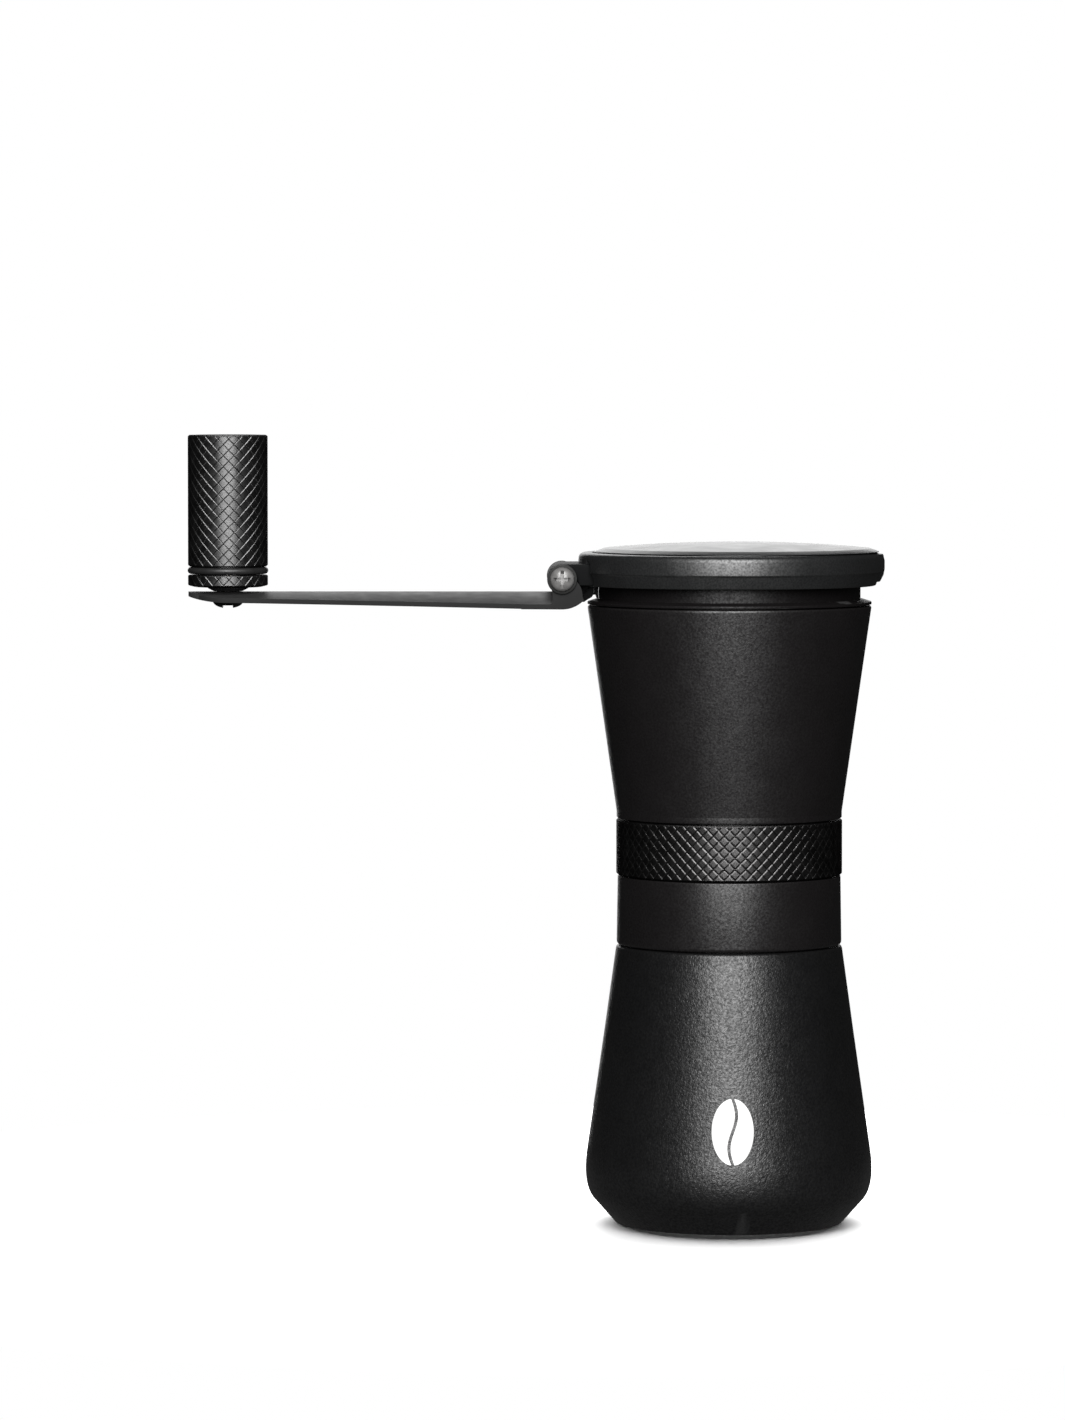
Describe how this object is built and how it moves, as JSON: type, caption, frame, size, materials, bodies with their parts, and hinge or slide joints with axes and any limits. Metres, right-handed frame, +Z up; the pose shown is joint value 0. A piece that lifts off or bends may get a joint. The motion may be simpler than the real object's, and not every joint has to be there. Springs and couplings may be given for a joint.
{
  "type": "hand crank coffee grinder",
  "caption": "Hourglass hand coffee grinder with a lift-off lid, a crank arm that folds down, a knurled knob and a knurled grind ring.",
  "frame": {"origin": "centre of the cup's flat base, on the surface it stands on", "axes": "+Z up along the shaft, the crank arm points along -X at rest, the hinge axis and its screw head along -Y"},
  "size_m": [0.1635, 0.071, 0.185],
  "materials": {
    "powder_coat": "fine-textured black powder coat on a metal cup",
    "anodised": "satin black anodised aluminium",
    "lid_plastic": "satin black moulded plastic",
    "coated_strip": "satin black coated steel strip",
    "bright_steel": "bright plated or stainless steel",
    "burr_steel": "ground stainless steel",
    "brass": "machined brass",
    "rubber": "satin black rubber",
    "nylon": "black nylon"
  },
  "bodies": {
    "cup": {"catch_cup": "powder_coat"},
    "housing": {"lower_housing": "anodised", "cup_seal": "rubber", "upper_housing": "anodised", "hopper_ring": "anodised", "upper_bearing": "bright_steel", "bearing_bridge": "nylon", "lower_bearing": "bright_steel", "detent_ball": "bright_steel", "detent_spring": "bright_steel"},
    "adjuster": {"adjust_ring": "anodised"},
    "burr_carriage": {"burr_carrier": "nylon", "outer_burr": "burr_steel", "burr_retainer": "bright_steel", "carrier_spring": "bright_steel", "follower_pin_1": "bright_steel", "follower_pin_2": "bright_steel", "follower_pin_3": "bright_steel"},
    "drive": {"drive_shaft": "bright_steel", "inner_burr": "burr_steel", "spacer_sleeve": "brass", "shaft_clip": "bright_steel", "burr_washer": "bright_steel", "burr_nut": "bright_steel"},
    "crank_lid": {"lid_frame": "lid_plastic", "lid_top_plate": "lid_plastic", "lid_glide_ring": "nylon", "drive_socket": "brass", "hinge_bush": "brass", "socket_screw_1": "bright_steel", "socket_screw_2": "bright_steel", "socket_screw_3": "bright_steel"},
    "arm": {"crank_arm": "coated_strip", "hinge_screw": "bright_steel", "hinge_washer_front": "bright_steel", "hinge_washer_back": "bright_steel", "hinge_nut": "bright_steel", "knob_screw": "bright_steel", "knob_axle": "bright_steel", "thrust_washer": "nylon"},
    "knob": {"knob_grip": "anodised", "knob_o_ring": "rubber", "knob_foot": "anodised", "knob_bush": "brass"}
  },
  "joints": [
    {"name": "cup_release", "type": "slide", "parent": "cup", "child": "housing", "axis": [0, 0, 1], "range_m": [0, 0.06]},
    {"name": "grind_setting", "type": "hinge", "parent": "housing", "child": "adjuster", "pos_m": [0, 0, 0.0885], "axis": [0, 0, 1], "range_deg": [0, 110]},
    {"name": "carrier_lift", "type": "slide", "parent": "housing", "child": "burr_carriage", "axis": [0, 0, 1], "range_m": [0, 0.0009], "deforming": ["carrier_spring"]},
    {"name": "crank_spin", "type": "hinge", "parent": "housing", "child": "drive", "pos_m": [0, 0, 0.11], "axis": [0, 0, 1], "continuous": true},
    {"name": "lid_lift", "type": "slide", "parent": "drive", "child": "crank_lid", "axis": [0, 0, 1], "range_m": [0, 0.03]},
    {"name": "arm_fold", "type": "hinge", "parent": "crank_lid", "child": "arm", "pos_m": [-0.0393, 0, 0.1516], "axis": [0, -1, 0], "range_deg": [0, 86]},
    {"name": "knob_spin", "type": "hinge", "parent": "arm", "child": "knob", "pos_m": [-0.1176, 0, 0.167], "axis": [0, 0, 1], "continuous": true}
  ],
  "couplings": [
    {"joint": "carrier_lift", "follows": "grind_setting", "m_per_rad": 0.00046832}
  ]
}
